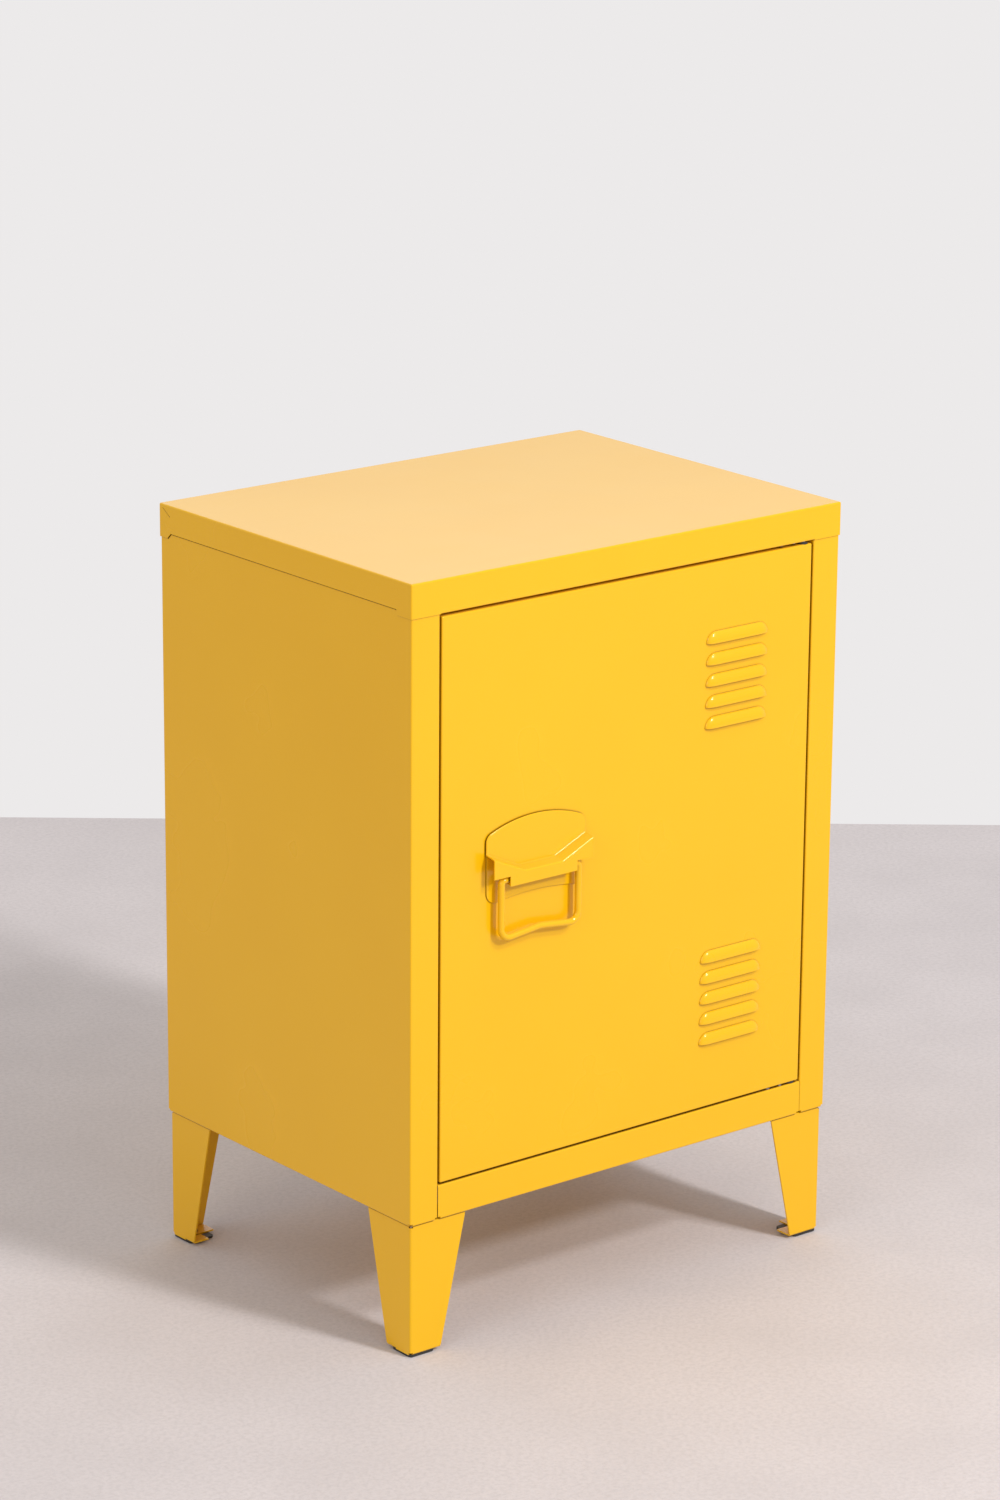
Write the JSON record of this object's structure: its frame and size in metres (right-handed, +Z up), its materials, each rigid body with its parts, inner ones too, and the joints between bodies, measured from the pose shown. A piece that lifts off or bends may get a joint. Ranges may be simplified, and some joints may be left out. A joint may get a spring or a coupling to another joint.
{
  "type": "one-door steel locker cabinet on legs",
  "caption": "Small folded-sheet steel locker cabinet on tapered legs, with a louvred hinged door, a hooded drop handle, a magnetic catch and a loose shelf.",
  "frame": {"origin": "on the floor under the middle of the overall box, handle and rear screw heads included", "axes": "+X to the cabinet's right seen from the front, -Y towards the front, +Z up"},
  "size_m": [0.4, 0.3124, 0.575],
  "materials": {
    "yellow_paint": "satin powder coat",
    "zinc_steel": "zinc plated",
    "bare_steel": "bare rolled steel",
    "black_plastic": "matte",
    "black_nylon": "matte",
    "magnet_poles": "dull"
  },
  "bodies": {
    "cabinet": {"top_panel": "yellow_paint", "left_side_panel": "yellow_paint", "right_side_panel": "yellow_paint", "back_panel": "yellow_paint", "bottom_panel": "yellow_paint", "shelf_clips": "yellow_paint", "front_left_leg": "yellow_paint", "front_right_leg": "yellow_paint", "rear_left_leg": "yellow_paint", "rear_right_leg": "yellow_paint", "front_left_foot_pad": "black_plastic", "front_right_foot_pad": "black_plastic", "rear_left_foot_pad": "black_plastic", "rear_right_foot_pad": "black_plastic", "leg_bolts": "zinc_steel", "leg_nuts": "zinc_steel", "back_screws": "zinc_steel", "top_screws": "zinc_steel", "upper_hinge_bracket": "zinc_steel", "lower_hinge_bracket": "zinc_steel", "upper_hinge_pin": "zinc_steel", "lower_hinge_pin": "zinc_steel", "hinge_rivets": "zinc_steel", "catch_screws": "zinc_steel", "catch_housing": "black_plastic", "catch_magnet": "magnet_poles"},
    "door": {"door_skin": "yellow_paint", "door_stiffener": "yellow_paint", "upper_hinge_bush": "black_nylon", "lower_hinge_bush": "black_nylon", "handle_back_plate": "yellow_paint", "handle_hood": "yellow_paint", "handle_screws": "zinc_steel", "strike_plate": "bare_steel", "strike_rivets": "zinc_steel"},
    "bail": {"bail": "yellow_paint"},
    "shelf": {"shelf": "yellow_paint"}
  },
  "joints": [
    {"name": "door_hinge", "type": "hinge", "parent": "cabinet", "child": "door", "pos_m": [0.1665, -0.141, 0.3386], "axis": [0, 0, 1], "range_deg": [0, 110]},
    {"name": "bail_swing", "type": "hinge", "parent": "door", "child": "bail", "pos_m": [-0.088, -0.1515, 0.3483], "axis": [-1, 0, 0], "range_deg": [-4.5, 90]},
    {"name": "shelf_lift", "type": "slide", "parent": "cabinet", "child": "shelf", "axis": [0, 0, 1], "range_m": [0, 0.04]}
  ]
}
